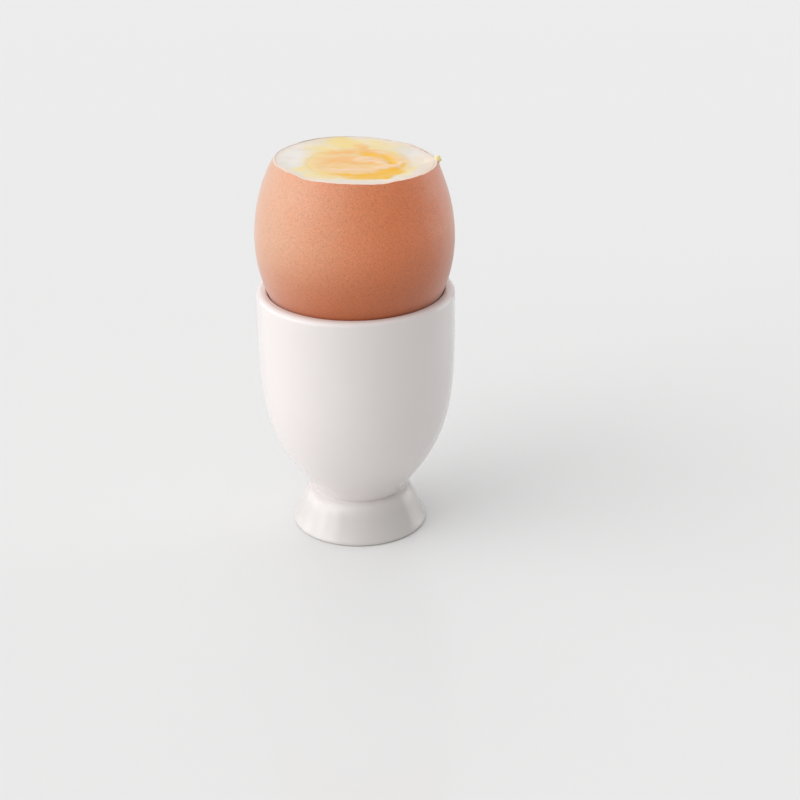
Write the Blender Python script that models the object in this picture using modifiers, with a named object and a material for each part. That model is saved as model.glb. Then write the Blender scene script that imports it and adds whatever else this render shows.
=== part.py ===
"""Boiled egg in its egg cup.

A white porcelain cup on a flared foot holds a brown egg with its pointed end up. The tip is
cut off, so the shell, the white and the yolk show at the cut.

Metres, +Z up. The origin is the centre of the foot's underside.
"""

import math

import bpy
from mathutils import Vector

NAME = "boiled_egg_in_egg_cup"

# Driving dimensions
GAP = 0.0003  # clear space between pieces that touch

RIM_RADIUS = 0.0226
BOWL_DEPTH = 0.0496
WAIST_RADIUS = 0.0107
BOWL_FULLNESS = 4.593  # how late the bowl's side turns in
BOWL_CURL = 1.325  # how it runs out into the waist
CUP_WALL = 0.00243
HOLLOW_DEPTH = 0.0445
HOLLOW_FULLNESS = 3.5
LIP_OUTER_ROUND = 0.0012
LIP_INNER_ROUND = 0.0006

FOOT_HEIGHT = 0.009
FOOT_SHOULDER_RADIUS = 0.0133
FOOT_SHOULDER_FULLNESS = 4
FOOT_FLARE = 0.0028  # how far the base stands out past the shoulder
FOOT_EDGE_ROUND = 0.0006
FOOT_RECESS_RADIUS = 0.0123
FOOT_RECESS_DEPTH = 0.0015
FOOT_RECESS_SLOPE = 0.0020  # how far its side runs in

EGG_RADIUS = 0.0225
EGG_POINTED_LENGTH = 0.028
EGG_BLUNT_LENGTH = 0.027
EGG_POINTED_FULLNESS = 0.139  # how much wider than an ellipsoid towards the pointed end
EQUATOR_ABOVE_RIM = 0.01224
SHELL_THICKNESS = 0.0004

CUT_ABOVE_EQUATOR = 0.01785
CUT_SLOPE_X = -0.0228
CUT_SLOPE_Y = -0.008

YOLK_RADIUS = 0.0155
YOLK_CUT_RADIUS = 0.0122
YOLK_OFFSET = (0.0010, -0.0028)

# Worked out from them
RIM_Z = FOOT_HEIGHT + BOWL_DEPTH
EQUATOR_Z = RIM_Z + EQUATOR_ABOVE_RIM
CUT_Z = EQUATOR_Z + CUT_ABOVE_EQUATOR
HOLLOW_RADIUS = RIM_RADIUS - CUP_WALL
YOLK_DEPTH = math.sqrt(YOLK_RADIUS**2 - YOLK_CUT_RADIUS**2)
YOLK_CENTRE = (*YOLK_OFFSET, CUT_Z - YOLK_DEPTH)

# How finely round shapes are divided
CUP_STEPS = 48
HOLLOW_RINGS = 9
BOWL_RINGS = 15
FOOT_RINGS = 8
INNER_LIP_RINGS = 3
OUTER_LIP_RINGS = 4
FOOT_EDGE_RINGS = 3
EGG_STEPS = 48
EGG_RINGS = 13
YOLK_STEPS = 32
OVERSHOOT = 0.002  # how far an egg solid stands above the cut before it is cut


def clear_scene():
    for obj in list(bpy.data.objects):
        bpy.data.objects.remove(obj, do_unlink=True)


def new_collection(name):
    collection = bpy.data.collections.new(name)
    bpy.context.scene.collection.children.link(collection)
    return collection


def material(name, colour, roughness):
    made = bpy.data.materials.new(name)
    made.use_nodes = True
    shader = made.node_tree.nodes["Principled BSDF"]
    shader.inputs["Base Color"].default_value = (*colour, 1)
    shader.inputs["Roughness"].default_value = roughness
    shader.inputs["Metallic"].default_value = 0
    return made


def turned(name, profile, steps, finish, collection):
    """A solid of revolution: profile is (radius, height) points that run down its outer side."""
    mesh = bpy.data.meshes.new(name)
    edges = [(i, i + 1) for i in range(len(profile) - 1)]
    mesh.from_pydata([(radius, 0, height) for radius, height in profile], edges, [])
    obj = bpy.data.objects.new(name, mesh)
    obj.data.materials.append(finish)
    collection.objects.link(obj)
    screw = obj.modifiers.new("turn", "SCREW")
    screw.axis = "Z"
    screw.steps = steps
    screw.render_steps = steps
    screw.use_merge_vertices = True
    screw.merge_threshold = 1e-5
    screw.use_smooth_shade = True
    return obj


def rounded(radius, height, size, start, end, count):
    """An arc of a corner's rounding about (radius, height), in degrees up from the outward radius."""
    angles = [math.radians(start + (end - start) * i / count) for i in range(count + 1)]
    return [(radius + size * math.cos(a), height + size * math.sin(a)) for a in angles]


def spread(count):
    """Shares from 0 to 1 that crowd towards 1, as a rounded end needs."""
    return [math.sin(math.pi / 2 * i / count) for i in range(count + 1)]


def bowl_radius(depth):
    """Outer radius of the bowl at a depth below the rim."""
    share = min(depth / BOWL_DEPTH, 1)
    return WAIST_RADIUS + (RIM_RADIUS - WAIST_RADIUS) * (1 - share**BOWL_FULLNESS) ** BOWL_CURL


def hollow_radius(depth):
    """Inner radius of the bowl at a depth below the rim."""
    share = min(depth / HOLLOW_DEPTH, 1)
    return HOLLOW_RADIUS * math.sqrt(1 - share**HOLLOW_FULLNESS)


def foot_radius(height):
    """Outer radius of the foot: a round shoulder under the waist, then a flare to the base."""
    share = height / FOOT_HEIGHT
    shoulder = (FOOT_SHOULDER_RADIUS - WAIST_RADIUS) * math.sqrt(1 - share**FOOT_SHOULDER_FULLNESS)
    return WAIST_RADIUS + shoulder + FOOT_FLARE * (1 - share) ** 2


def hollow_side():
    """The inside, from the middle of its bottom up to the lip."""
    depths = [HOLLOW_DEPTH * share for share in reversed(spread(HOLLOW_RINGS)[1:])]
    return [(hollow_radius(depth), RIM_Z - depth) for depth in depths]


def lip():
    """Over the lip, from the inside to the outside."""
    inner = HOLLOW_RADIUS + LIP_INNER_ROUND
    outer = RIM_RADIUS - LIP_OUTER_ROUND
    over = rounded(inner, RIM_Z - LIP_INNER_ROUND, LIP_INNER_ROUND, 180, 90, INNER_LIP_RINGS)
    return over + rounded(outer, RIM_Z - LIP_OUTER_ROUND, LIP_OUTER_ROUND, 90, 0, OUTER_LIP_RINGS)


def bowl_side():
    """The outside, from below the lip down to the waist."""
    depths = [BOWL_DEPTH * share for share in spread(BOWL_RINGS)[2:]]
    return [(bowl_radius(depth), RIM_Z - depth) for depth in depths]


def foot_side():
    """From under the waist down to the foot's edge."""
    heights = [FOOT_HEIGHT * share for share in reversed(spread(FOOT_RINGS)[1:-1])]
    side = [(foot_radius(height), height) for height in heights]
    edge = foot_radius(FOOT_EDGE_ROUND) - FOOT_EDGE_ROUND
    return side + rounded(edge, FOOT_EDGE_ROUND, FOOT_EDGE_ROUND, 0, -90, FOOT_EDGE_RINGS)


def underside():
    """The shallow recess inside the ring that the cup stands on."""
    floor_radius = FOOT_RECESS_RADIUS - FOOT_RECESS_SLOPE
    return [(FOOT_RECESS_RADIUS, 0), (floor_radius, FOOT_RECESS_DEPTH), (0, FOOT_RECESS_DEPTH)]


def egg_point(angle, inset):
    """A point of the egg's outline at an angle above its equator, moved in by inset."""
    radius = (EGG_RADIUS - inset) * math.cos(angle)
    rise = math.sin(angle)
    if rise < 0:
        return radius, EQUATOR_Z + (EGG_BLUNT_LENGTH - inset) * rise
    radius *= 1 + EGG_POINTED_FULLNESS * rise**3
    return radius, EQUATOR_Z + (EGG_POINTED_LENGTH - inset) * rise


def egg_side(inset):
    """The egg's outline from a little above the cut down to the bottom of the blunt end."""
    top = math.asin((CUT_ABOVE_EQUATOR + OVERSHOOT) / (EGG_POINTED_LENGTH - inset))
    angles = [top - (top + math.pi / 2) * i / EGG_RINGS for i in range(EGG_RINGS)]
    return [egg_point(angle, inset) for angle in angles] + [(0, EQUATOR_Z - EGG_BLUNT_LENGTH + inset)]


def make_cutter(name, collection):
    """A slab whose sloping underside is the cut through the egg."""
    size = 6 * EGG_RADIUS
    bpy.ops.mesh.primitive_cube_add(size=size)
    slab = bpy.context.object
    slab.name = name
    normal = Vector((-CUT_SLOPE_X, -CUT_SLOPE_Y, 1)).normalized()
    slab.rotation_euler = normal.to_track_quat("Z", "Y").to_euler()
    slab.location = Vector((0, 0, CUT_Z)) + normal * size / 2
    return as_helper(slab, collection)


def as_helper(obj, collection):
    """Moves obj to the helpers' collection and hides it from renders."""
    for old in list(obj.users_collection):
        old.objects.unlink(obj)
    collection.objects.link(obj)
    obj.hide_render = True
    obj.display_type = "WIRE"
    return obj


def cut_away(obj, cutter):
    boolean = obj.modifiers.new("less_" + cutter.name, "BOOLEAN")
    boolean.operation = "DIFFERENCE"
    boolean.solver = "EXACT"
    boolean.object = cutter


def ball(name, radius, collection):
    """A ball about the yolk's centre."""
    bpy.ops.mesh.primitive_uv_sphere_add(
        segments=YOLK_STEPS, ring_count=YOLK_STEPS // 2, radius=radius, location=YOLK_CENTRE
    )
    obj = bpy.context.object
    obj.name = name
    obj.data.shade_smooth()
    for old in list(obj.users_collection):
        old.objects.unlink(obj)
    collection.objects.link(obj)
    return obj


def make_cup(parts):
    finish = material("porcelain", (0.86, 0.84, 0.82), 0.15)
    profile = hollow_side() + lip() + bowl_side() + foot_side() + underside()
    turned("egg_cup", profile, CUP_STEPS, finish, parts)


def make_shell(parts, cutter):
    finish = material("eggshell", (0.62, 0.27, 0.13), 0.55)
    inside = egg_side(SHELL_THICKNESS)
    inside.reverse()
    shell = turned("eggshell", inside + egg_side(0), EGG_STEPS, finish, parts)
    cut_away(shell, cutter)


def make_white(parts, helpers, cutter):
    finish = material("egg_white", (0.83, 0.78, 0.70), 0.3)
    side = egg_side(SHELL_THICKNESS + GAP)
    white = turned("egg_white", [(0, side[0][1])] + side, EGG_STEPS, finish, parts)
    pocket = as_helper(ball("yolk_pocket", YOLK_RADIUS + GAP, helpers), helpers)
    cut_away(white, pocket)
    cut_away(white, cutter)


def make_yolk(parts, cutter):
    yolk = ball("egg_yolk", YOLK_RADIUS, parts)
    yolk.data.materials.append(material("egg_yolk", (0.88, 0.52, 0.12), 0.35))
    cut_away(yolk, cutter)


def main():
    clear_scene()
    parts = new_collection(NAME)
    helpers = new_collection("cutters")
    cutter = make_cutter("cut_slab", helpers)
    make_cup(parts)
    make_shell(parts, cutter)
    make_white(parts, helpers, cutter)
    make_yolk(parts, cutter)


main()
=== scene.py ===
"""Looks of the boiled egg in its egg cup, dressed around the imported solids.

Lengths below are in millimetres, and the mesh makers turn them into metres. X is to the
right, Y to the back and Z up.
"""

import math

import bmesh
import bpy
from mathutils import Matrix, Vector, noise


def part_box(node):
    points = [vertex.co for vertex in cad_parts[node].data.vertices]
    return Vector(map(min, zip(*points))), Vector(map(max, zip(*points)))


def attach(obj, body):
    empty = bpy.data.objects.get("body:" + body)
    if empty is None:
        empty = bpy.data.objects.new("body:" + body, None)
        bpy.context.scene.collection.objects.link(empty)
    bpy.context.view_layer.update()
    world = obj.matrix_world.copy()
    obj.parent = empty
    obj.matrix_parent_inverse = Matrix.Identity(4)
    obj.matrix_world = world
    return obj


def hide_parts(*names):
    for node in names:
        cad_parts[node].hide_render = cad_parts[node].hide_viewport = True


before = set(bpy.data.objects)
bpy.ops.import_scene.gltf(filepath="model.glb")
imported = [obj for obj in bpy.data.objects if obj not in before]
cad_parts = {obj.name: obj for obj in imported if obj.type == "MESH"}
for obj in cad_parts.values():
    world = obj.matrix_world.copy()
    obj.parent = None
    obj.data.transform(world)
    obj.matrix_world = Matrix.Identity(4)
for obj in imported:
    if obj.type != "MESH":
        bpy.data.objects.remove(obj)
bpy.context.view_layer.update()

MM = 0.001


def corners_mm(node):
    """The lowest and the highest corner of a CAD node."""
    low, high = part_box(node)
    return low / MM, high / MM


# ---------------------------------------------------------------- sizes from the frame
CUP_HIGH = corners_mm("egg_cup")[1]
SHELL_LOW = corners_mm("eggshell")[0]
YOLK_LOW, YOLK_HIGH = corners_mm("egg_yolk")

RIM_Z = CUP_HIGH.z
RIM_RADIUS = CUP_HIGH.x
BLUNT_LENGTH = 27.0
EGG_RADIUS = 22.5
EQUATOR_Z = SHELL_LOW.z + BLUNT_LENGTH
YOLK_X = (YOLK_LOW.x + YOLK_HIGH.x) / 2
YOLK_Y = (YOLK_LOW.y + YOLK_HIGH.y) / 2

# Cup: the solid's own outline, turned more finely
FOOT_HEIGHT = 9.0
BOWL_DEPTH = RIM_Z - FOOT_HEIGHT
WAIST_RADIUS = 10.7
BOWL_FULLNESS = 4.593
BOWL_CURL = 1.325
HOLLOW_RADIUS = RIM_RADIUS - 2.55  # the lip nearly touches the egg
HOLLOW_DEPTH = 44.5
HOLLOW_FULLNESS = 3.5
LIP_OUTER_ROUND = 1.2
LIP_INNER_ROUND = 0.6
FOOT_SHOULDER_RADIUS = 13.3
FOOT_SHOULDER_FULLNESS = 4
FOOT_FLARE = 2.8
FOOT_EDGE_ROUND = 0.6
FOOT_RECESS_RADIUS = 12.3
FOOT_RECESS_DEPTH = 1.5
FOOT_RECESS_SLOPE = 2.0

# Egg
POINTED_LENGTH = 28.0
POINTED_FULLNESS = 0.139
SHELL_THICKNESS = 0.4
CUT_Z = EQUATOR_Z + 17.85
CUT_SLOPE_X = -0.0228
CUT_SLOPE_Y = -0.008

# How far the broken edge stands above (+) or below (-) the plane of the cut: degrees round
# from +X towards the back, and millimetres
EDGE_CHIPS = (
    (-160, 0.10),
    (-150, 0.28),
    (-143, 0.32),
    (-134, 0.10),
    (-126, -0.24),
    (-112, -0.08),
    (-95, -0.06),
    (-70, -0.28),
    (-58, -0.08),
    (-33, -0.20),
    (-18, -0.34),
    (-8, -0.10),
    (-4, 0.42),
    (1, 0.30),
    (5, 0.05),
    (29, -0.20),
    (44, -0.14),
    (60, -0.22),
    (78, -0.04),
    (97, 0.12),
    (116, 0.21),
    (129, 0.15),
    (140, -0.05),
    (155, 0.02),
    (178, 0.06),
)
# Height of the nibbles and of the finer grains along the broken edge
EDGE_NIBBLES = 0.07
EDGE_GRAINS = 0.035


def ring_noise(angle, scale, seed):
    """Smooth noise from -1 to 1 that closes on itself round the axis."""
    return noise.noise(Vector((math.cos(angle) * scale, math.sin(angle) * scale, seed)))


def degrees_from(angle, middle):
    """How many degrees lie between an angle in radians and a direction in degrees."""
    return abs((math.degrees(angle) - middle + 180) % 360 - 180)


def edge_offset(angle):
    """Height of the broken edge over the plane of the cut, at an angle in radians."""
    degrees = (math.degrees(angle) + 180) % 360 - 180
    first, last = EDGE_CHIPS[0], EDGE_CHIPS[-1]
    chips = ((last[0] - 360, last[1]), *EDGE_CHIPS, (first[0] + 360, first[1]))
    for (a, low), (b, high) in zip(chips, chips[1:]):
        if a <= degrees <= b:
            offset = low + (high - low) * (degrees - a) / (b - a)
            break
    nibble = ring_noise(angle, 9, 3.1)
    grain = ring_noise(angle, 38, 7.7)
    return offset + EDGE_NIBBLES * nibble + EDGE_GRAINS * grain


def cut_height(x, y):
    """Height of the plane of the cut."""
    return CUT_Z + CUT_SLOPE_X * x + CUT_SLOPE_Y * y


def egg_outline(angle, inset):
    """(radius, height) of the egg's outline at an angle above its equator, moved in by inset."""
    rise = math.sin(angle)
    radius = (EGG_RADIUS - inset) * math.cos(angle)
    if rise < 0:
        return radius, EQUATOR_Z + (BLUNT_LENGTH - inset) * rise
    return radius * (1 + POINTED_FULLNESS * rise**3), EQUATOR_Z + (POINTED_LENGTH - inset) * rise


def angle_at(height, inset):
    """The angle at which the pointed half's outline is at a height."""
    return math.asin((height - EQUATOR_Z) / (POINTED_LENGTH - inset))


# ---------------------------------------------------------------- mesh makers
def finished(name, verts, faces, slot, *nodes):
    """Makes a smooth piece from points in millimetres, which rides on the one body."""
    mesh = bpy.data.meshes.new(name)
    mesh.from_pydata([Vector(v) * MM for v in verts], [], faces)
    mesh.validate()
    mesh.shade_smooth()
    piece = bpy.data.objects.new(name, mesh)
    bpy.context.scene.collection.objects.link(piece)
    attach(piece, "root")
    if nodes:
        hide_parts(*nodes)
    return piece


def ring_faces(first, second, count):
    """Quads between two rings of count points, that face out when second is below first."""
    return [
        (first + i, second + i, second + (i + 1) % count, first + (i + 1) % count)
        for i in range(count)
    ]


def closed_surface(rings, start, end):
    """Points and faces of a closed skin through rings of points, with a point at each end."""
    count = len(rings[0])
    verts = [point for ring in rings for point in ring]
    faces = []
    for k in range(len(rings) - 1):
        faces += ring_faces(k * count, (k + 1) * count, count)
    top, bottom = len(verts), len(verts) + 1
    verts += [start, end]
    last = (len(rings) - 1) * count
    faces += [(top, i, (i + 1) % count) for i in range(count)]
    faces += [(bottom, last + (i + 1) % count, last + i) for i in range(count)]
    return verts, faces


def directions(count):
    """Angles all the way round."""
    return [2 * math.pi * i / count for i in range(count)]


def swung(radius, angle, height):
    """The point of an outline after a turn by angle about the axis."""
    return radius * math.cos(angle), radius * math.sin(angle), height


def rounded(radius, height, size, start, end, count):
    """An arc of a corner's rounding about (radius, height), in degrees up from the outward radius."""
    angles = [math.radians(start + (end - start) * i / count) for i in range(count + 1)]
    return [(radius + size * math.cos(a), height + size * math.sin(a)) for a in angles]


def spread(count):
    """Shares from 0 to 1 that crowd towards 1."""
    return [math.sin(math.pi / 2 * i / count) for i in range(count + 1)]


# ---------------------------------------------------------------- cup
CUP_STEPS = 192
HOLLOW_RINGS = 36
INNER_LIP_RINGS = 8
OUTER_LIP_RINGS = 10
BOWL_RINGS = 60
FOOT_RINGS = 28
FOOT_EDGE_RINGS = 6

# The ring that the cup stands on: its softened inner corner, and the bend in the recess's
# side, which is given as shares of the side's slope and depth
RING_CORNER_WIDTH = 0.5
RING_CORNER_HEIGHT = 0.1
RECESS_BEND_IN = 0.4
RECESS_BEND_UP = 0.7
# Faces as low as this that look down this much belong to the ring, and are bare of glaze
BARE_BELOW = 0.25
BARE_NORMAL = -0.6


def bowl_radius(depth):
    """Outer radius of the bowl at a depth below the rim."""
    share = min(depth / BOWL_DEPTH, 1)
    return WAIST_RADIUS + (RIM_RADIUS - WAIST_RADIUS) * (1 - share**BOWL_FULLNESS) ** BOWL_CURL


def hollow_radius(depth):
    """Inner radius of the bowl at a depth below the rim."""
    share = min(depth / HOLLOW_DEPTH, 1)
    return HOLLOW_RADIUS * math.sqrt(1 - share**HOLLOW_FULLNESS)


def foot_radius(height):
    """Outer radius of the foot: a round shoulder under the waist, then a flare to the base."""
    share = height / FOOT_HEIGHT
    shoulder = (FOOT_SHOULDER_RADIUS - WAIST_RADIUS) * math.sqrt(1 - share**FOOT_SHOULDER_FULLNESS)
    return WAIST_RADIUS + shoulder + FOOT_FLARE * (1 - share) ** 2


def hollow_and_lip():
    """From near the middle of the hollow's bottom up and over the lip."""
    depths = [HOLLOW_DEPTH * share for share in reversed(spread(HOLLOW_RINGS)[1:-1])]
    hollow = [(hollow_radius(depth), RIM_Z - depth) for depth in depths]
    inner = HOLLOW_RADIUS + LIP_INNER_ROUND
    outer = RIM_RADIUS - LIP_OUTER_ROUND
    lip = rounded(inner, RIM_Z - LIP_INNER_ROUND, LIP_INNER_ROUND, 180, 90, INNER_LIP_RINGS)
    lip += rounded(outer, RIM_Z - LIP_OUTER_ROUND, LIP_OUTER_ROUND, 90, 0, OUTER_LIP_RINGS)
    return hollow + lip


def bowl_and_foot():
    """From below the lip down to the foot's rounded edge."""
    depths = [BOWL_DEPTH * share for share in spread(BOWL_RINGS)[2:-2]]
    bowl = [(bowl_radius(depth), RIM_Z - depth) for depth in depths]
    heights = [FOOT_HEIGHT * share for share in reversed(spread(FOOT_RINGS)[2:-2])]
    foot = [(foot_radius(height), height) for height in heights]
    edge = foot_radius(FOOT_EDGE_ROUND) - FOOT_EDGE_ROUND
    return bowl + foot + rounded(edge, FOOT_EDGE_ROUND, FOOT_EDGE_ROUND, 0, -90, FOOT_EDGE_RINGS)


def underside():
    """The ring that the cup stands on, and the shallow recess inside it."""
    bend_radius = FOOT_RECESS_RADIUS - FOOT_RECESS_SLOPE * RECESS_BEND_IN
    return [
        (FOOT_RECESS_RADIUS + RING_CORNER_WIDTH, 0),
        (FOOT_RECESS_RADIUS, RING_CORNER_HEIGHT),
        (bend_radius, FOOT_RECESS_DEPTH * RECESS_BEND_UP),
        (FOOT_RECESS_RADIUS - FOOT_RECESS_SLOPE, FOOT_RECESS_DEPTH),
        (FOOT_RECESS_RADIUS / 2, FOOT_RECESS_DEPTH),
    ]


def make_cup():
    outline = hollow_and_lip() + bowl_and_foot() + underside()
    rings = [[swung(radius, a, height) for a in directions(CUP_STEPS)] for radius, height in outline]
    verts, faces = closed_surface(rings, (0, 0, RIM_Z - HOLLOW_DEPTH), (0, 0, FOOT_RECESS_DEPTH))
    cup = finished("glazed_cup", verts, faces, "porcelain", "egg_cup")
    for face in cup.data.polygons:
        if face.center.z < BARE_BELOW * MM and face.normal.z < BARE_NORMAL:
            face.material_index = 1
    return cup


# ---------------------------------------------------------------- shell
SHELL_STEPS = 360
SHELL_INSIDE_RINGS = 60
SHELL_OUTSIDE_RINGS = 90
SHELL_CROWDING = 1.15  # above 1, the rings crowd towards the broken edge
EDGE_ROUNDING = 0.05  # how far the middle of the shell's thickness stands above its two sides
EDGE_FITTING = 3  # rounds that fit the edge's radius to its height

# A splinter of shell on the right that leans out: direction and half width in degrees
SPLINTER_ANGLE = -3
SPLINTER_HALF_WIDTH = 18
SPLINTER_LEAN = 0.5
SPLINTER_HEIGHT = 5.0


def splinter_lean(angle, below=0.0):
    """How far the shell leans out at an angle in radians and a depth below its edge."""
    aside = degrees_from(angle, SPLINTER_ANGLE) / SPLINTER_HALF_WIDTH
    down = below / SPLINTER_HEIGHT
    if aside >= 1 or down >= 1:
        return 0.0
    return SPLINTER_LEAN * (1 - aside**2) ** 2 * (1 - down) ** 2


def broken_edge(angle, inset, raised):
    """The outline's angle at which the shell ends in a direction, with its edge raised a little."""
    radius = egg_outline(angle_at(CUT_Z, inset), inset)[0]
    for _ in range(EDGE_FITTING):
        plane = cut_height(radius * math.cos(angle), radius * math.sin(angle))
        height = plane + edge_offset(angle) + raised
        radius = egg_outline(angle_at(height, inset), inset)[0]
    return angle_at(height, inset)


def shell_side(inset, count, raised=0.0):
    """Rings of the egg's surface from the broken edge down to near the blunt end's tip."""
    tops = [broken_edge(a, inset, raised) for a in directions(SHELL_STEPS)]
    rings = []
    for k in range(count):
        share = (k / count) ** SHELL_CROWDING
        ring = []
        for a, top in zip(directions(SHELL_STEPS), tops):
            radius, height = egg_outline(top - (top + math.pi / 2) * share, inset)
            radius += splinter_lean(a, egg_outline(top, inset)[1] - height)
            ring.append(swung(radius, a, height))
        rings.append(ring)
    return rings


def make_shell():
    """The shell: brown outside, cream along its broken edge, and lined with membrane inside."""
    inside = shell_side(SHELL_THICKNESS, SHELL_INSIDE_RINGS)
    inside.reverse()
    edge = shell_side(SHELL_THICKNESS * 0.75, 1, EDGE_ROUNDING)
    edge += shell_side(SHELL_THICKNESS * 0.25, 1, EDGE_ROUNDING)
    rings = inside + edge + shell_side(0, SHELL_OUTSIDE_RINGS)
    tip = EQUATOR_Z - BLUNT_LENGTH
    verts, faces = closed_surface(rings, (0, 0, tip + SHELL_THICKNESS), (0, 0, tip))
    shell = finished("brown_shell", verts, faces, "eggshell", "eggshell")
    lined = (len(inside) - 1) * SHELL_STEPS
    edged = lined + (len(edge) + 1) * SHELL_STEPS
    sides = (len(rings) - 1) * SHELL_STEPS
    for index, face in enumerate(shell.data.polygons):
        if index < lined or sides <= index < sides + SHELL_STEPS:
            face.material_index = 2
        elif index < edged:
            face.material_index = 1
    return shell


# ---------------------------------------------------------------- patches of the cut
PATCH_FALL = 1.2  # how fast the relief of a patch falls off away from its middle


class Patch:
    """A soft-edged oval on the cut: its middle and half sizes in mm, its turn in degrees."""

    def __init__(self, x, y, long, wide, turn=0, soft=0.35, lift=0.0):
        self.x, self.y, self.long, self.wide = x, y, long, wide
        self.turn, self.soft, self.lift = turn, soft, lift

    def share(self, x, y):
        """1 at the middle of the oval, and 0 well outside it."""
        turn = math.radians(self.turn)
        dx, dy = x - self.x, y - self.y
        along = (dx * math.cos(turn) + dy * math.sin(turn)) / self.long
        across = (dy * math.cos(turn) - dx * math.sin(turn)) / self.wide
        return math.exp(-PATCH_FALL * (along**2 + across**2))


YOLK_REACH = 12.3  # the yolk's mean radius on the cut

# Runny, deep yellow yolk
POOLS = (
    Patch(8.2, -8.6, 3.3, 2.6, 25, 0.30, -0.20),
    Patch(3.6, -12.2, 5.0, 2.2, 4, 0.30, -0.20),
    Patch(-2.0, -11.2, 2.8, 0.7, -14, 0.85, -0.10),
    Patch(10.8, -5.0, 2.4, 0.7, 68, 0.85, -0.15),
    Patch(8.4, -2.3, 1.6, 0.9, 80, 0.40, -0.20),
    Patch(3.9, 3.2, 2.8, 1.4, -38, 0.50, -0.15),
    Patch(7.4, 1.4, 2.4, 1.1, -66, 0.50, -0.15),
)
# Firmer yolk with a deeper orange
FIRM = (
    Patch(-2.4, -1.0, 3.8, 2.3, 16, 0.7, 0.06),
    Patch(2.1, 9.2, 2.7, 1.3, -56, 0.85, 0.08),
    Patch(3.6, 6.0, 2.8, 1.8, -44, 0.6, 0.05),
    Patch(-2.8, 5.4, 3.8, 1.1, 10, 0.95, 0.04),
    Patch(1.6, -3.1, 3.2, 0.7, 8, 0.7, -0.14),
)
# Milky wisps of white drawn through the yolk, partly painted highlights of its wet gloss
WISPS_AND_PAINTED_HIGHLIGHTS = (
    Patch(2.4, 0.5, 2.3, 1.2, 32, 0.5, 0.28),
    Patch(4.8, -1.6, 2.6, 0.9, -20, 0.5, 0.16),
    Patch(8.5, -4.9, 2.3, 0.9, -12, 0.5, 0.26),
    Patch(6.2, -5.8, 2.2, 0.9, 12, 0.6, 0.12),
    Patch(10.4, -2.2, 1.4, 0.6, 70, 0.5, 0.10),
    Patch(-0.5, -7.8, 5.0, 1.0, 3, 0.8, 0.08),
    Patch(6.0, 5.0, 1.6, 0.6, -35, 0.6, 0.10),
)
# Thin yolk smeared over the white
SMEARS = (
    Patch(-2.6, 14.0, 2.0, 4.0, 6, 0.45, 0.06),
    Patch(1.6, 11.8, 9.0, 4.4, -8, 0.6, 0.04),
    Patch(-10.6, -7.4, 2.9, 2.2, 30, 0.75, 0.04),
    Patch(-7.4, -11.2, 4.6, 2.6, -28, 0.5, 0.05),
    Patch(-0.6, -13.2, 4.2, 1.5, -6, 0.6, 0.03),
    Patch(-6.6, 7.4, 3.8, 4.0, 40, 0.6, 0.03),
    Patch(12.0, -8.0, 1.3, 3.6, -20, 0.85, 0.04),
    Patch(8.0, 6.0, 2.6, 3.6, 35, 0.6, 0.03),
)
# These patches are colour alone: where the smear at the back is thickest, a cream tint of the
# white on the right, the yolk's colour that soaks into the white, and the yolk's body
THICK_SMEAR = Patch(-2.2, 12.4, 3.4, 4.6, 6, 0.5)
CREAM = Patch(14.6, -2.0, 3.0, 5.0, 4, 0.6)
HALO = Patch(YOLK_X - 0.4, YOLK_Y, YOLK_REACH - 0.8, YOLK_REACH - 0.6, 0, 0.14)
BODY = Patch(YOLK_X + 0.4, YOLK_Y - 0.2, YOLK_REACH - 2.4, YOLK_REACH - 2.0, 0, 0.24)
# Radii between which the white grows warmer towards the shell
WARM_RIM = (15.4, 17.2)

# Where the white has drawn back from the shell: middle and half width in degrees, depth
DRAWN_BACK = (
    (127, 13, 0.20),
    (30, 17, 0.09),
)
DRAWN_BACK_WIDTH = 0.9
DRAWN_BACK_RAGGED = 0.35  # the share by which its depth wavers


# ---------------------------------------------------------------- relief of the cut
# Heights of broad swells, and of tears and grains on the white and how much more on the yolk
SWELLS = 0.10
TEARS = (0.02, 0.07)
GRAINS = (0.004, 0.02)
LUMPY_REACH = 1.2  # the extra relief ends at this many times the yolk's reach
LUMPY_FADE = 4  # and it is full a quarter of the reach further in

# How far the yolk's outline wavers, in broad waves and in fine ones
YOLK_RAGGED = 0.7
YOLK_FRAYED = 0.25

CUT_SINK = 0.06  # the food lies this far below the plane of the cut, away from the shell
EDGE_BAND = 2.4  # the width beside the shell over which the food rises to the broken edge
WALL_BITE = 0.08  # how far the white reaches into the shell's wall


def cut_noise(x, y, across, back, seed):
    """Smooth noise from -1 to 1 over the cut, with a frequency for each direction."""
    return noise.noise(Vector((x * across, y * back, seed)))


def relief(x, y):
    """Height of the food over the plane of the cut: lumpy yolk in smoother white."""
    rise = sum(p.lift * p.share(x, y) for p in POOLS + FIRM + WISPS_AND_PAINTED_HIGHLIGHTS + SMEARS)
    away = math.hypot(x - YOLK_X, y - YOLK_Y) / YOLK_REACH
    lumpy = min(1.0, max(0.0, LUMPY_REACH - away) * LUMPY_FADE)
    swell = SWELLS * cut_noise(x, y, 0.16, 0.16, 1.7)
    tear = (TEARS[0] + TEARS[1] * lumpy) * cut_noise(x, y, 0.5, 0.9, 4.2)
    grain = (GRAINS[0] + GRAINS[1] * lumpy) * cut_noise(x, y, 1.5, 2.3, 9.3)
    return rise + swell + tear + grain


def drawn_back(angle):
    """How far the white stands below the shell's edge, at an angle in radians."""
    depth = 0.0
    for middle, half, most in DRAWN_BACK:
        away = degrees_from(angle, middle) / half
        if away < 1:
            depth = max(depth, most * (1 - away**2))
    return depth * (1 + DRAWN_BACK_RAGGED * ring_noise(angle, 6, 2.2))


def yolk_edge(angle):
    """Radius of the yolk's outline about its own middle."""
    ragged = ring_noise(angle, 2.1, 0.4)
    frayed = ring_noise(angle, 7, 5.0)
    return YOLK_REACH + YOLK_RAGGED * ragged + YOLK_FRAYED * frayed


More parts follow.
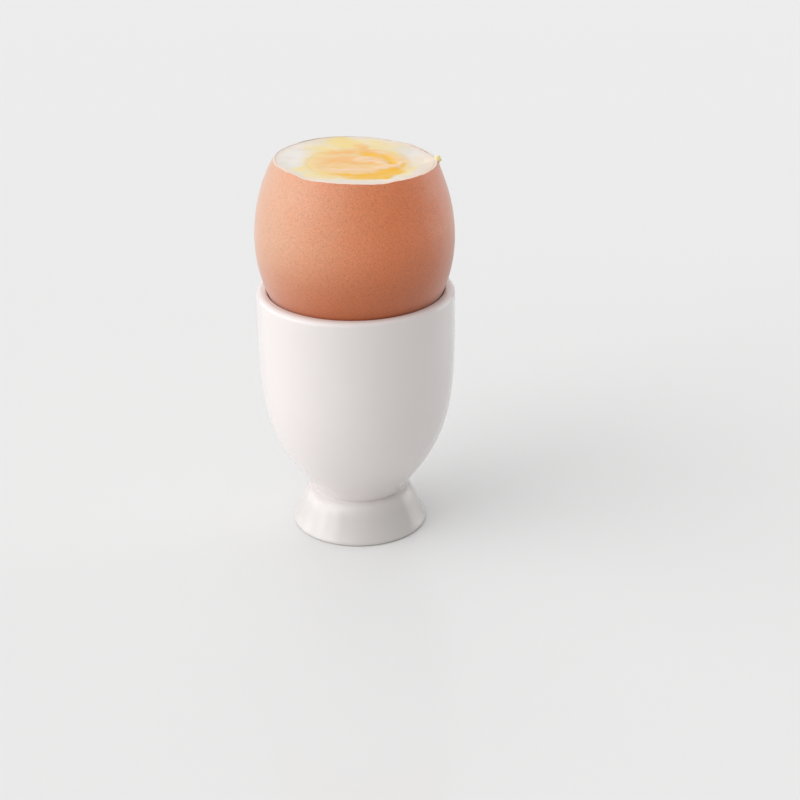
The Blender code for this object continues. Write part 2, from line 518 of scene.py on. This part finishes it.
def white_reach(angle):
    """How far the white reaches: just into the shell's wall."""
    wall = egg_outline(angle_at(CUT_Z, SHELL_THICKNESS), SHELL_THICKNESS)[0]
    return wall + splinter_lean(angle) + WALL_BITE


def white_height(x, y):
    """The white follows the broken edge, and dips where it has drawn back from the shell."""
    angle = math.atan2(y, x)
    inward = white_reach(angle) - math.hypot(x, y)
    near = max(0.0, 1 - inward / EDGE_BAND)
    drop = drawn_back(angle) * max(0.0, 1 - inward / DRAWN_BACK_WIDTH) ** 2
    rise = (relief(x, y) - CUT_SINK) * (1 - near) + edge_offset(angle) * near
    return cut_height(x, y) + rise - drop


# ---------------------------------------------------------------- white
WHITE_STEPS = 288
WHITE_FACE_RINGS = 60
WHITE_SIDE_RINGS = 40
# Under the yolk, the face sinks away from it, and its middle is a round pit
PIT_RADIUS = 6.0
PIT_DEPTH = 3.0
SINK_UNDER_YOLK = 1.5
SINK_INSET = 1.2  # how far inside the yolk's edge the sinking starts
WHITE_SIDE_TOP = 1.2  # how far below the cut the side against the shell starts


def white_pit():
    """Two rings, from the bottom of the pit up its side."""
    rings = []
    for depth in (PIT_DEPTH, PIT_DEPTH / 2):
        ring = []
        for a in directions(WHITE_STEPS):
            x, y = YOLK_X + PIT_RADIUS * math.cos(a), YOLK_Y + PIT_RADIUS * math.sin(a)
            ring.append((x, y, cut_height(x, y) - depth))
        rings.append(ring)
    return rings


def white_face():
    """Rings of the cut face, from the pit under the yolk out to the shell."""
    centre = Vector((YOLK_X, YOLK_Y))
    rings = []
    for share in spread(WHITE_FACE_RINGS):
        ring = []
        for a in directions(WHITE_STEPS):
            ahead = Vector((math.cos(a), math.sin(a)))
            point = (centre + PIT_RADIUS * ahead).lerp(white_reach(a) * ahead, share)
            covered = 1 - (point - centre).length / (YOLK_REACH - SINK_INSET)
            sunk = SINK_UNDER_YOLK * max(0.0, covered)
            ring.append((point.x, point.y, white_height(point.x, point.y) - sunk))
        rings.append(ring)
    return rings


def white_side(inset):
    """Rings down the side that lies against the shell."""
    top = angle_at(CUT_Z - WHITE_SIDE_TOP, inset)
    rings = []
    for k in range(1, WHITE_SIDE_RINGS):
        radius, height = egg_outline(top - (top + math.pi / 2) * k / WHITE_SIDE_RINGS, inset)
        rings.append([swung(radius, a, height) for a in directions(WHITE_STEPS)])
    return rings


def make_white():
    """A closed skin: the pit under the yolk, the cut face, and the side inside the shell."""
    inset = SHELL_THICKNESS - WALL_BITE
    rings = white_pit() + white_face() + white_side(inset)
    bottom = (YOLK_X, YOLK_Y, cut_height(YOLK_X, YOLK_Y) - PIT_DEPTH)
    verts, faces = closed_surface(rings, bottom, (0, 0, EQUATOR_Z - BLUNT_LENGTH + inset))
    return finished("cooked_white", verts, faces, "egg_white", "egg_white")


# ---------------------------------------------------------------- yolk
YOLK_STEPS = 288
YOLK_FACE_RINGS = 56
YOLK_BODY_RINGS = 30
YOLK_PROUD = 0.05  # how far its face stands over the white
YOLK_THIN = 0.15  # the outer share of its face that thins out
YOLK_THINNING = 0.12  # how much lower its outermost edge lies
YOLK_BALL = 15.2
YOLK_BALL_INSET = 0.6  # how far inside the face's edge the ball meets the cut
YOLK_BALL_SINK = 0.45  # and how far below it
YOLK_WAVY_RINGS = 5  # rings over which the ball takes over from the ragged edge


def yolk_face():
    """Rings of the lumpy face, out to the thin edge that lies on the white."""
    rings = []
    for k in range(1, YOLK_FACE_RINGS + 1):
        share = k / YOLK_FACE_RINGS
        thinned = max(0.0, share + YOLK_THIN - 1) / YOLK_THIN
        ring = []
        for a in directions(YOLK_STEPS):
            radius = yolk_edge(a) * share
            x, y = YOLK_X + radius * math.cos(a), YOLK_Y + radius * math.sin(a)
            ring.append((x, y, white_height(x, y) + YOLK_PROUD - YOLK_THINNING * thinned))
        rings.append(ring)
    return rings


def yolk_body(lean):
    """Rings of the ball under the face, which starts at lean above the ball's own equator."""
    rings = []
    for k in range(YOLK_BODY_RINGS):
        angle = lean - (lean + math.pi / 2) * k / YOLK_BODY_RINGS
        sunk = YOLK_BALL_SINK + YOLK_BALL * (math.sin(lean) - math.sin(angle))
        wavy = max(0.0, 1 - k / YOLK_WAVY_RINGS)
        ring = []
        for a in directions(YOLK_STEPS):
            radius = YOLK_BALL * math.cos(angle) + (yolk_edge(a) - YOLK_REACH) * wavy
            x, y = YOLK_X + radius * math.cos(a), YOLK_Y + radius * math.sin(a)
            ring.append((x, y, cut_height(x, y) - sunk))
        rings.append(ring)
    return rings


def make_yolk():
    """The yolk's lumpy face, with a thin edge that lies on the white, over a ball-shaped body."""
    lean = math.acos((YOLK_REACH - YOLK_BALL_INSET) / YOLK_BALL)
    depth = YOLK_BALL_SINK + YOLK_BALL * (1 + math.sin(lean))
    top = (YOLK_X, YOLK_Y, white_height(YOLK_X, YOLK_Y) + YOLK_PROUD)
    bottom = (YOLK_X, YOLK_Y, cut_height(YOLK_X, YOLK_Y) - depth)
    verts, faces = closed_surface(yolk_face() + yolk_body(lean), top, bottom)
    return finished("soft_yolk", verts, faces, "egg_yolk", "egg_yolk")


# ---------------------------------------------------------------- crumb
CRUMB_PLACE = (18.65, -0.7, CUT_Z - 0.15)
CRUMB_SIZE = (0.66, 0.75, 0.80)
CRUMB_SEED = (4, 1, 0)
CRUMB_LUMPS = 0.5  # their height, as a share of its size
CRUMB_GRAINS = 0.16


def make_crumb():
    """A crumb of yolk stuck on the splinter that stands up from the shell's edge."""
    ball = bmesh.new()
    bmesh.ops.create_icosphere(ball, subdivisions=5, radius=1)
    verts = []
    for vert in ball.verts:
        lump = 1 + CRUMB_LUMPS * noise.noise(vert.co * 1.4 + Vector(CRUMB_SEED))
        lump += CRUMB_GRAINS * noise.noise(vert.co * 4)
        axes = zip(CRUMB_PLACE, CRUMB_SIZE, vert.co * lump)
        verts.append([middle + half * away for middle, half, away in axes])
    faces = [tuple(vert.index for vert in face.verts) for face in ball.faces]
    ball.free()
    return finished("yolk_crumb", verts, faces, "egg_yolk")


# ---------------------------------------------------------------- materials
RIGHTWARD = (1, 0, 0)
BACKWARD = (0, 1, 0)
UPWARD = (0, 0, 1)
PATCH_TALL = 1000  # a patch's colour hardly changes with height


def seen(red, green, blue):
    """The linear colour that looks like this on screen, 0 to 255."""
    out = []
    for screen in (red, green, blue):
        value = screen / 255
        out.append(value / 12.92 if value <= 0.04045 else ((value + 0.055) / 1.055) ** 2.4)
    return (*out, 1)


class Finish:
    """A Principled material with short ways to add nodes. Its coordinates are millimetres."""

    def __init__(self, name, **plain):
        """plain gives values of the shader's own sockets, by name with _ for a space."""
        self.data = bpy.data.materials.new(name)
        self.data.use_nodes = True
        self.tree = self.data.node_tree
        self.shader = self.tree.nodes["Principled BSDF"]
        for socket, value in plain.items():
            self.shader.inputs[socket.replace("_", " ")].default_value = value
        place = self.tree.nodes.new("ShaderNodeTexCoord").outputs["Object"]
        self.place = self.vector("SCALE", place, scale=1 / MM)

    def put(self, socket, value):
        """Links a node's output to a socket, or gives the socket a plain value."""
        if isinstance(value, bpy.types.NodeSocket):
            self.tree.links.new(value, socket)
        else:
            socket.default_value = value

    def set(self, socket, value):
        """Sets one of the shader's own sockets."""
        self.put(self.shader.inputs[socket], value)

    def vector(self, operation, first, second=None, scale=None):
        node = self.tree.nodes.new("ShaderNodeVectorMath")
        node.operation = operation
        self.put(node.inputs[0], first)
        if second is not None:
            self.put(node.inputs[1], second)
        if scale is not None:
            self.put(node.inputs["Scale"], scale)
        return node.outputs["Value" if operation in ("LENGTH", "DOT_PRODUCT") else "Vector"]

    def maths(self, operation, first, second=0.0, third=0.0):
        node = self.tree.nodes.new("ShaderNodeMath")
        node.operation = operation
        for socket, value in zip(node.inputs, (first, second, third)):
            self.put(socket, value)
        return node.outputs[0]

    def along(self, direction):
        """The place along a direction, in millimetres from the origin."""
        return self.vector("DOT_PRODUCT", self.place, direction)

    def wander(self, scale, reach):
        """The place, pushed aside by noise, by half of reach at most."""
        node = self.tree.nodes.new("ShaderNodeTexNoise")
        self.put(node.inputs["Vector"], self.place)
        node.inputs["Scale"].default_value = scale
        aside = self.vector("SUBTRACT", node.outputs["Color"], (0.5, 0.5, 0.5))
        return self.vector("ADD", self.place, self.vector("SCALE", aside, scale=reach))

    def noise(self, scale, detail, rough=0.5, place=None):
        """Smooth noise about 0.5, with scale waves to the millimetre."""
        node = self.tree.nodes.new("ShaderNodeTexNoise")
        self.put(node.inputs["Vector"], place or self.place)
        node.inputs["Scale"].default_value = scale
        node.inputs["Detail"].default_value = detail
        node.inputs["Roughness"].default_value = rough
        return node.outputs["Fac"]

    def cells(self, scale, place):
        """Distance from the middle of the nearest of many scattered cells."""
        node = self.tree.nodes.new("ShaderNodeTexVoronoi")
        self.put(node.inputs["Vector"], place)
        node.inputs["Scale"].default_value = scale
        return node.outputs["Distance"]

    def span(self, value, low, high, to_low=0.0, to_high=1.0, smooth=True):
        """Maps a value between low and high to one between to_low and to_high."""
        node = self.tree.nodes.new("ShaderNodeMapRange")
        node.interpolation_type = "SMOOTHSTEP" if smooth else "LINEAR"
        self.put(node.inputs["Value"], value)
        node.inputs["From Min"].default_value = low
        node.inputs["From Max"].default_value = high
        node.inputs["To Min"].default_value = to_low
        node.inputs["To Max"].default_value = to_high
        return node.outputs["Result"]

    def mix(self, share, first, second):
        """A colour from first to second as share goes from 0 to 1."""
        node = self.tree.nodes.new("ShaderNodeMix")
        node.data_type = "RGBA"
        self.put(node.inputs["Factor"], share)
        self.put(node.inputs[6], first)
        self.put(node.inputs[7], second)
        return node.outputs[2]

    def cover(self, colour, where, most, tint):
        """A colour under a tint, which lies as thick as where says, times most."""
        return self.mix(self.maths("MULTIPLY", where, most), colour, tint)

    def bump(self, height, distance, under=None):
        """distance is the relief in millimetres that a height of 1 stands for."""
        node = self.tree.nodes.new("ShaderNodeBump")
        node.inputs["Distance"].default_value = distance * MM
        self.put(node.inputs["Height"], height)
        if under is not None:
            self.put(node.inputs["Normal"], under)
        return node.outputs["Normal"]

    def patch(self, oval, place):
        """The share of a soft-edged oval on the cut, from 0 to 1."""
        node = self.tree.nodes.new("ShaderNodeMapping")
        node.vector_type = "TEXTURE"
        self.put(node.inputs["Vector"], place)
        node.inputs["Location"].default_value = (oval.x, oval.y, CUT_Z)
        node.inputs["Rotation"].default_value = (0, 0, math.radians(oval.turn))
        node.inputs["Scale"].default_value = (oval.long, oval.wide, PATCH_TALL)
        away = self.vector("LENGTH", node.outputs["Vector"])
        return self.span(away, 1 + oval.soft, 1 - oval.soft)

    def patches(self, ovals, place):
        """The largest share of several ovals."""
        total = self.patch(ovals[0], place)
        for oval in ovals[1:]:
            total = self.maths("MAXIMUM", total, self.patch(oval, place))
        return total


GLAZE_DARK = (0.815, 0.760, 0.746, 1)
GLAZE_LIGHT = (0.845, 0.790, 0.776, 1)
# painted shade at the foot, darker and warmer than the glaze
GLAZE_PAINTED_FOOT_SHADE = (0.70, 0.665, 0.645, 1)
FOOT_PAINTED_SHADE_SPAN = (FOOT_HEIGHT + 3, FOOT_HEIGHT - 4)  # heights over which the painted shade at the foot sets in


def porcelain_finish():
    """Glossy white glaze with a faint ripple, and painted shade, darker and warmer, at the foot."""
    glaze = Finish("porcelain_glaze", IOR=1.5, Coat_Weight=0.25, Coat_Roughness=0.04)
    white = glaze.mix(glaze.noise(0.05, 2), GLAZE_DARK, GLAZE_LIGHT)
    # painted shade towards the foot
    low = glaze.span(glaze.along(UPWARD), *FOOT_PAINTED_SHADE_SPAN)
    glaze.set("Base Color", glaze.mix(low, white, GLAZE_PAINTED_FOOT_SHADE))
    ripple = glaze.bump(glaze.noise(0.12, 2), 0.10)
    glaze.set("Normal", glaze.bump(glaze.noise(1.6, 2), 0.006, under=ripple))
    glaze.set("Roughness", glaze.span(glaze.noise(0.4, 3), 0.3, 0.7, 0.09, 0.15))
    return glaze.data


def bisque_finish():
    """The bare ring that the cup stands on."""
    bare = Finish("bare_foot_ring", Roughness=0.75)
    grain = bare.noise(6, 4, 0.6)
    bare.set("Base Color", bare.mix(grain, (0.55, 0.51, 0.46, 1), (0.70, 0.67, 0.62, 1)))
    bare.set("Normal", bare.bump(grain, 0.05))
    return bare.data


# The shell's colour: painted sheen pales it on the left and at the right edge, and painted
# shade deepens it low down, above the cup's rim
SHELL_BROWN = (0.79, 0.215, 0.072, 1)
# painted sheen on the left, in place of the left lamps' veil
SHELL_PAINTED_SHEEN_LEFT = (0.705, 0.355, 0.205, 1)
# painted sheen at the right edge
SHELL_PAINTED_SHEEN_RIGHT = (0.86, 0.42, 0.29, 1)
# painted shade low on the egg, above the cup's rim
SHELL_PAINTED_SHADE = (0.505, 0.100, 0.004, 1)
PAINTED_SHEEN_LEFT_SPAN = (-18, 8)  # across the egg
PAINTED_SHEEN_RIGHT_SPAN = (15, 25)
PAINTED_SHADE_SPAN = (RIM_Z + 1, RIM_Z + 19)  # up the egg
PAINTED_SHADE_LEAN = 0.13  # how much higher the painted shade reaches for each millimetre to the right
CLOUDINESS = 12  # how far in all the borders of the painted sheen and painted shade wander
GRAIN_SHADE = (0.89, 1.11)  # darkest and brightest grain
PORE_SHADE = (-0.08, -0.32)  # how much the palest and the darkest pores darken the shell


def shell_colour(shell, grain, pores):
    """Brown pigment, with painted sheen at both sides and painted shade low down, then shaded by its
    grain and its pores.
    """
    drift = shell.maths("MULTIPLY_ADD", shell.noise(0.16, 4, 0.6), CLOUDINESS, -CLOUDINESS / 2)
    across = shell.maths("ADD", shell.along(RIGHTWARD), drift)
    # painted sheen: paler on the left and at the right edge
    colour = shell.mix(shell.span(across, *PAINTED_SHEEN_LEFT_SPAN, smooth=False), SHELL_PAINTED_SHEEN_LEFT, SHELL_BROWN)
    colour = shell.mix(shell.span(across, *PAINTED_SHEEN_RIGHT_SPAN, 0, 0.6, smooth=False), colour, SHELL_PAINTED_SHEEN_RIGHT)
    # painted shade low down, reaching higher to the right
    up = shell.maths("MULTIPLY_ADD", drift, 0.4, shell.along((-PAINTED_SHADE_LEAN, 0, 1)))
    colour = shell.mix(shell.span(up, *PAINTED_SHADE_SPAN, 0.95, 0), colour, SHELL_PAINTED_SHADE)
    colour = shell.vector("SCALE", colour, scale=grain)
    strength = shell.span(shell.noise(1.1, 2), 0.3, 0.7, *PORE_SHADE)
    return shell.vector("SCALE", colour, scale=shell.maths("MULTIPLY_ADD", pores, strength, 1.0))


def shell_finish():
    """Brown shell with painted sheen and painted shade in its colour, a fine grain of bumps and
    darker pores.
    """
    shell = Finish("brown_eggshell", IOR=1.5, Specular_IOR_Level=0.6)
    shell.set("Sheen Weight", 0.6)
    shell.set("Sheen Roughness", 0.5)
    grain = shell.span(shell.noise(2.8, 3, 0.7), 0.30, 0.70, *GRAIN_SHADE)
    pores = shell.span(shell.cells(2.2, shell.wander(1.5, 0.5)), 0.42, 0.10)
    shell.set("Base Color", shell_colour(shell, grain, pores))
    shell.set("Roughness", shell.span(grain, *GRAIN_SHADE, 0.42, 0.54))
    fine = shell.bump(shell.noise(2.6, 3, 0.6), 0.022)
    pits = shell.bump(pores, -0.015, under=fine)
    shell.set("Normal", shell.bump(shell.noise(0.45, 2), 0.05, under=pits))
    return shell.data


EDGE_GREY_SPAN = (-6, 5)  # from the front to the back


def shell_edge_finish():
    """The shell's broken thickness: cream at the front, and greyer towards the back."""
    edge = Finish("shell_edge", Roughness=0.6)
    speck = edge.noise(3, 3, 0.6)
    front = edge.mix(speck, seen(240, 214, 192), seen(252, 238, 226))
    back = edge.mix(speck, seen(222, 212, 206), seen(238, 230, 226))
    behind = edge.span(edge.along(BACKWARD), *EDGE_GREY_SPAN)
    edge.set("Base Color", edge.mix(behind, front, back))
    edge.set("Normal", edge.bump(speck, 0.03))
    return edge.data


def membrane_finish():
    """The papery skin that lines the shell, greyish where the white has drawn back."""
    skin = Finish("shell_membrane", Roughness=0.5, Sheen_Weight=0.2)
    fibres = skin.noise(2.2, 4, 0.65)
    skin.set("Base Color", skin.mix(fibres, seen(220, 206, 196), seen(238, 227, 217)))
    skin.set("Normal", skin.bump(fibres, 0.05))
    return skin.data


def cut_places(food):
    """The two places that the cut's pattern reads: wandering, and stretched sideways as well."""
    wander = food.wander(0.30, 2.6)
    return wander, food.vector("MULTIPLY", wander, (0.55, 1.0, 1.0))


def white_colour(food, wander, streak):
    """Cloudy white, warmer beside the shell, with thin yolk smeared over it."""
    cloud = food.span(food.noise(0.22, 2), 0.3, 0.7)
    colour = food.mix(cloud, seen(230, 222, 214), seen(239, 233, 225))
    colour = food.cover(colour, food.patch(CREAM, wander), 0.6, seen(244, 226, 200))
    around = food.vector("LENGTH", food.vector("MULTIPLY", food.place, (1, 1, 0)))
    colour = food.mix(food.span(around, *WARM_RIM, 0, 0.75), colour, seen(243, 222, 205))
    thin = food.span(food.noise(0.5, 2, place=streak), 0.3, 0.7, 0.55, 0.95)
    colour = food.cover(colour, food.patches(SMEARS, wander), thin, seen(246, 221, 148))
    return food.cover(colour, food.patch(THICK_SMEAR, wander), 0.6, seen(249, 217, 132))


def cut_colour(food, wander, streak):
    """The colour of the whole cut, shared by white and yolk so that one runs into the other."""
    colour = white_colour(food, wander, streak)
    colour = food.cover(colour, food.patch(HALO, wander), 0.9, seen(250, 217, 146))
    creamy = food.span(food.noise(0.45, 3, place=streak), 0.3, 0.7)
    yolk = food.mix(creamy, seen(246, 200, 132), seen(248, 208, 154))
    colour = food.mix(food.patch(BODY, wander), colour, yolk)
    colour = food.cover(colour, food.patches(FIRM, wander), 0.8, seen(249, 188, 112))
    colour = food.cover(colour, food.patches(POOLS, wander), 0.94, seen(252, 190, 36))
    # the wisps' pale colour is partly real white, partly painted highlight
    return food.cover(colour, food.patches(WISPS_AND_PAINTED_HIGHLIGHTS, wander), 0.8, seen(252, 214, 182))


def white_finish():
    """Moist cooked white, a little see-through."""
    white = Finish("cooked_white", IOR=1.38, Subsurface_Weight=0.5, Specular_IOR_Level=0.25)
    white.set("Subsurface Radius", (1.0, 0.8, 0.6))
    white.set("Subsurface Scale", 1.2 * MM)
    wander, streak = cut_places(white)
    white.set("Base Color", cut_colour(white, wander, streak))
    white.set("Roughness", white.span(white.noise(0.9, 3), 0.3, 0.7, 0.36, 0.48))
    soft = white.bump(white.noise(0.35, 2, place=streak), 0.03)
    white.set("Normal", white.bump(white.noise(2.4, 2), 0.002, under=soft))
    return white.data


def yolk_finish():
    """Soft yolk, glossier where it is runny."""
    yolk = Finish("soft_yolk", IOR=1.42, Subsurface_Weight=0.35, Specular_IOR_Level=0.2)
    yolk.set("Subsurface Radius", (1.0, 0.55, 0.2))
    yolk.set("Subsurface Scale", 1.0 * MM)
    wander, streak = cut_places(yolk)
    yolk.set("Base Color", cut_colour(yolk, wander, streak))
    yolk.set("Roughness", yolk.span(yolk.patches(POOLS, wander), 0, 1, 0.44, 0.32))
    soft = yolk.bump(yolk.noise(0.7, 3, place=streak), 0.05)
    yolk.set("Normal", yolk.bump(yolk.noise(3.5, 2), 0.003, under=soft))
    return yolk.data


def crumb_finish():
    """A crumb of yolk, golden, with painted light making its top paler."""
    crumb = Finish("yolk_crumb_lit_top", Roughness=0.5, Subsurface_Weight=0.2)
    crumb.set("Subsurface Scale", 0.5 * MM)
    grain = crumb.noise(2.5, 4, 0.6)
    golden = crumb.mix(grain, seen(244, 200, 138), seen(253, 224, 172))
    pale = crumb.mix(grain, seen(246, 224, 148), seen(253, 242, 190))
    # painted light: the top is paler, as if lit from above
    lit_top_share = crumb.span(crumb.along(UPWARD), CUT_Z - 0.9, CUT_Z + 0.3)
    crumb.set("Base Color", crumb.mix(lit_top_share, golden, pale))
    crumb.set("Normal", crumb.bump(grain, 0.08))
    return crumb.data


def floor_finish():
    """A plain pale table top."""
    floor = Finish("studio_floor", Roughness=0.12, IOR=1.22)
    floor.set("Base Color", (0.84, 0.84, 0.84, 1))
    return floor.data


def dress(piece, *materials):
    for material in materials:
        piece.data.materials.append(material)


# ---------------------------------------------------------------- stage
# The camera's place, its angles in degrees, and its lens
CAMERA_X = 0.0
CAMERA_Y = -403.5
CAMERA_ABOVE_RIM = 155.4
CAMERA_DOWN = 24.49
CAMERA_RIGHT = 1.393
CAMERA_LEAN = -0.54
LENS = 85.5
SENSOR = 36
FLOOR_REACH = 4000 * math.sqrt(2)  # from the middle to a corner


def make_camera():
    """Aims the camera by how far it looks down and to the right, and how far it leans over."""
    data = bpy.data.cameras.new("camera")
    data.lens = LENS
    data.sensor_width = SENSOR
    data.clip_start = 0.01
    data.clip_end = 50
    camera = bpy.data.objects.new("camera", data)
    bpy.context.scene.collection.objects.link(camera)
    down, right, lean = (math.radians(v) for v in (CAMERA_DOWN, CAMERA_RIGHT, CAMERA_LEAN))
    level = Vector((math.sin(right), math.cos(right), 0))
    ahead = math.cos(down) * level - math.sin(down) * Vector(UPWARD)
    across = Vector((math.cos(right), -math.sin(right), 0))
    above = across.cross(ahead)
    side = math.cos(lean) * across + math.sin(lean) * above
    top = math.cos(lean) * above - math.sin(lean) * across
    place = Matrix((side, top, -ahead)).transposed().to_4x4()
    place.translation = Vector((CAMERA_X, CAMERA_Y, RIM_Z + CAMERA_ABOVE_RIM)) * MM
    camera.matrix_world = place
    bpy.context.scene.camera = camera


def make_floor():
    mesh = bpy.data.meshes.new("floor")
    corners = [swung(FLOOR_REACH, math.radians(turn), 0) for turn in (-135, -45, 45, 135)]
    mesh.from_pydata([Vector(corner) * MM for corner in corners], [], [(0, 1, 2, 3)])
    floor = bpy.data.objects.new("floor", mesh)
    bpy.context.scene.collection.objects.link(floor)
    dress(floor, floor_finish())


def toward(azimuth, elevation):
    """Unit vector towards a light: azimuth in degrees, 0 at the camera's side and 90 at +X."""
    turn, rise = math.radians(azimuth), math.radians(elevation)
    return (math.sin(turn) * math.cos(rise), -math.cos(turn) * math.cos(rise), math.sin(rise))


# Soft lamps round the table: azimuth, elevation, the half angles within which a lamp is at
# its full strength and has faded away, and its strength
SOFTBOXES = (
    (-120, 10, 6, 26, 1.15),
    (-90, 10, 6, 26, 1.9),
    (-60, 10, 6, 26, 1.95),
    (-90, 38, 6, 26, 0.8),
    (-60, 38, 6, 26, 1.5),
    (-30, 38, 6, 26, 0.8),
    (120, 10, 6, 26, 1.45),
    (180, 22, 16, 44, 0.55),
    (0, 90, 20, 56, 0.5),
)
ROOM_LIGHT = 0.38
BACKDROP = 0.83


def lamp_glow(tree, direction, azimuth, elevation, full, faded, strength):
    """The strength of one soft lamp, seen in a direction."""
    dot = tree.nodes.new("ShaderNodeVectorMath")
    dot.operation = "DOT_PRODUCT"
    tree.links.new(direction, dot.inputs[0])
    dot.inputs[1].default_value = toward(azimuth, elevation)
    glow = tree.nodes.new("ShaderNodeMapRange")
    glow.interpolation_type = "SMOOTHSTEP"
    tree.links.new(dot.outputs["Value"], glow.inputs["Value"])
    glow.inputs["From Min"].default_value = math.cos(math.radians(faded))
    glow.inputs["From Max"].default_value = math.cos(math.radians(full))
    glow.inputs["To Max"].default_value = strength
    return glow.outputs["Result"]


def room_light(tree):
    """The dim room's light and all its lamps together."""
    direction = tree.nodes.new("ShaderNodeTexCoord").outputs["Generated"]
    total = None
    for softbox in SOFTBOXES:
        add = tree.nodes.new("ShaderNodeMath")
        tree.links.new(lamp_glow(tree, direction, *softbox), add.inputs[0])
        add.inputs[1].default_value = ROOM_LIGHT
        if total is not None:
            tree.links.new(total, add.inputs[1])
        total = add.outputs[0]
    return total


def make_world():
    """Soft lamps at a distance in a dim room, with a plain pale backdrop where the camera looks."""
    world = bpy.data.worlds.new("studio")
    bpy.context.scene.world = world
    world.use_nodes = True
    tree = world.node_tree
    background = tree.nodes["Background"]
    looked_at = tree.nodes.new("ShaderNodeLightPath").outputs["Is Camera Ray"]
    brightness = tree.nodes.new("ShaderNodeMix")
    tree.links.new(looked_at, brightness.inputs["Factor"])
    tree.links.new(room_light(tree), brightness.inputs["A"])
    brightness.inputs["B"].default_value = BACKDROP
    tree.links.new(brightness.outputs["Result"], background.inputs["Strength"])
    background.inputs["Color"].default_value = (1, 1, 1, 1)
    bpy.context.scene.view_settings.view_transform = "Standard"


def main():
    make_camera()
    make_floor()
    make_world()
    dress(make_cup(), porcelain_finish(), bisque_finish())
    dress(make_shell(), shell_finish(), shell_edge_finish(), membrane_finish())
    dress(make_white(), white_finish())
    dress(make_yolk(), yolk_finish())
    dress(make_crumb(), crumb_finish())


main()
